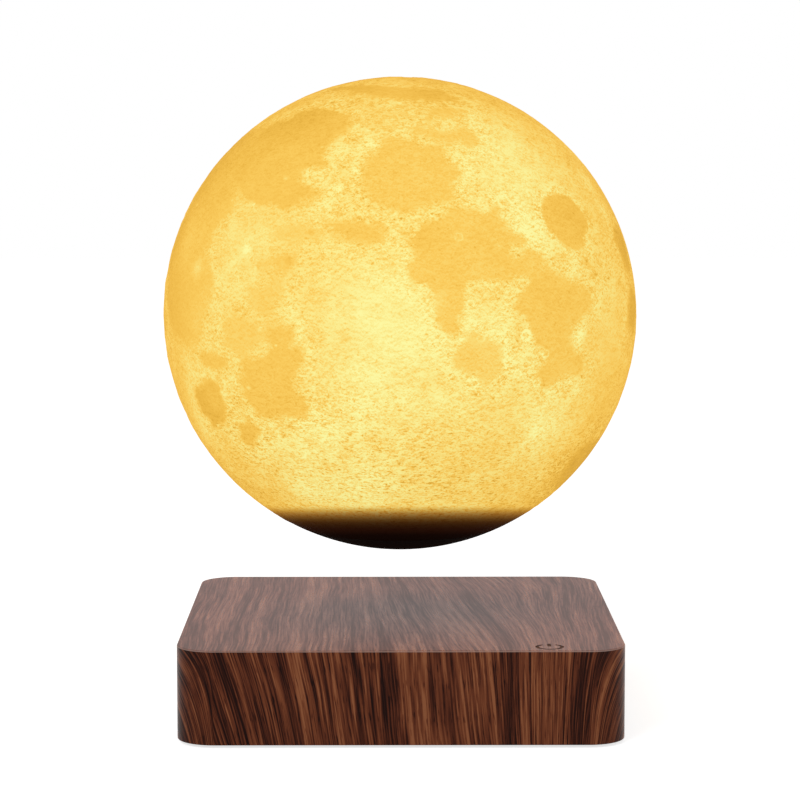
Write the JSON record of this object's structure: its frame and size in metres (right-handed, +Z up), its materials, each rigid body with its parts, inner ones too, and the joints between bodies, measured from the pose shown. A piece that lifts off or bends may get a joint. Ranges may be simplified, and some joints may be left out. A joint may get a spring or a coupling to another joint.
{
  "type": "levitating moon lamp",
  "caption": "Printed moon globe with a warm inner light that floats over a square wood-grain base by magnetic levitation and turns freely.",
  "frame": {"origin": "centre of the underside of the four feet, on the surface that the base stands on", "axes": "+Z up; -Y is the front with the touch sign at the right, +Y the back with the power jack; +X to the right seen from the front"},
  "size_m": [0.15, 0.15, 0.2003],
  "materials": {
    "walnut_film": "satin",
    "black_plastic": "matte",
    "black_rubber": "matte",
    "zinced_steel": "satin",
    "natural_nylon": "satin",
    "ferrite": "matte",
    "enamelled_copper": "gloss",
    "copper_foil": "gloss",
    "soft_iron": "satin",
    "circuit_board": "satin",
    "black_epoxy": "matte",
    "capacitor_sleeve": "satin",
    "nickel_plate": "gloss",
    "printed_shell": "matte",
    "printed_plug": "matte",
    "turned_aluminium": "satin",
    "phosphor": "matte",
    "grey_silicone": "matte",
    "opal_plastic": "satin"
  },
  "bodies": {
    "base": {"base_case": "walnut_film", "bottom_plate": "black_plastic", "rubber_foot_1": "black_rubber", "rubber_foot_2": "black_rubber", "rubber_foot_3": "black_rubber", "rubber_foot_4": "black_rubber", "plate_screw_1": "zinced_steel", "plate_screw_2": "zinced_steel", "plate_screw_3": "zinced_steel", "plate_screw_4": "zinced_steel", "coil_tray": "natural_nylon", "tray_screw_1": "zinced_steel", "tray_screw_2": "zinced_steel", "tray_screw_3": "zinced_steel", "tray_screw_4": "zinced_steel", "ring_magnet": "ferrite", "coil_bobbin_1": "natural_nylon", "coil_bobbin_2": "natural_nylon", "coil_bobbin_3": "natural_nylon", "coil_bobbin_4": "natural_nylon", "coil_winding_1": "enamelled_copper", "coil_winding_2": "enamelled_copper", "coil_winding_3": "enamelled_copper", "coil_winding_4": "enamelled_copper", "coil_core_1": "soft_iron", "coil_core_2": "soft_iron", "coil_core_3": "soft_iron", "coil_core_4": "soft_iron", "sensor_board": "circuit_board", "hall_sensor_x": "black_epoxy", "hall_sensor_y": "black_epoxy", "hall_sensor_z": "black_epoxy", "control_board": "circuit_board", "controller_chip": "black_epoxy", "driver_chip_1": "black_epoxy", "driver_chip_2": "black_epoxy", "power_inductor": "ferrite", "filter_capacitor_1": "capacitor_sleeve", "filter_capacitor_2": "capacitor_sleeve", "power_jack_housing": "black_plastic", "power_jack_pin": "nickel_plate", "transmitter_coil": "enamelled_copper", "touch_electrode": "copper_foil", "touch_spring": "nickel_plate"},
    "floating_magnet": {"floating_magnet": "nickel_plate"},
    "moon": {"moon_shell": "printed_shell", "bottom_plug": "printed_plug", "magnet_carrier": "black_plastic", "receiver_coil": "enamelled_copper", "receiver_board": "circuit_board", "rectifier_chip": "black_epoxy", "receiver_capacitor": "capacitor_sleeve", "lamp_column": "turned_aluminium", "lamp_board": "turned_aluminium", "lamp_emitter": "phosphor", "lamp_screw_1": "zinced_steel", "lamp_screw_2": "zinced_steel", "lamp_ribbon": "grey_silicone", "diffuser_dome": "opal_plastic"}
  },
  "joints": [
    {"name": "levitation_height", "type": "slide", "parent": "base", "child": "floating_magnet", "axis": [0, 0, 1], "range_m": [-0.02, 0.06], "stiffness_N_per_m": 120, "springref_m": 0.0333},
    {"name": "moon_spin", "type": "hinge", "parent": "floating_magnet", "child": "moon", "pos_m": [0, 0, 0.1253], "axis": [0, 0, 1], "continuous": true}
  ]
}
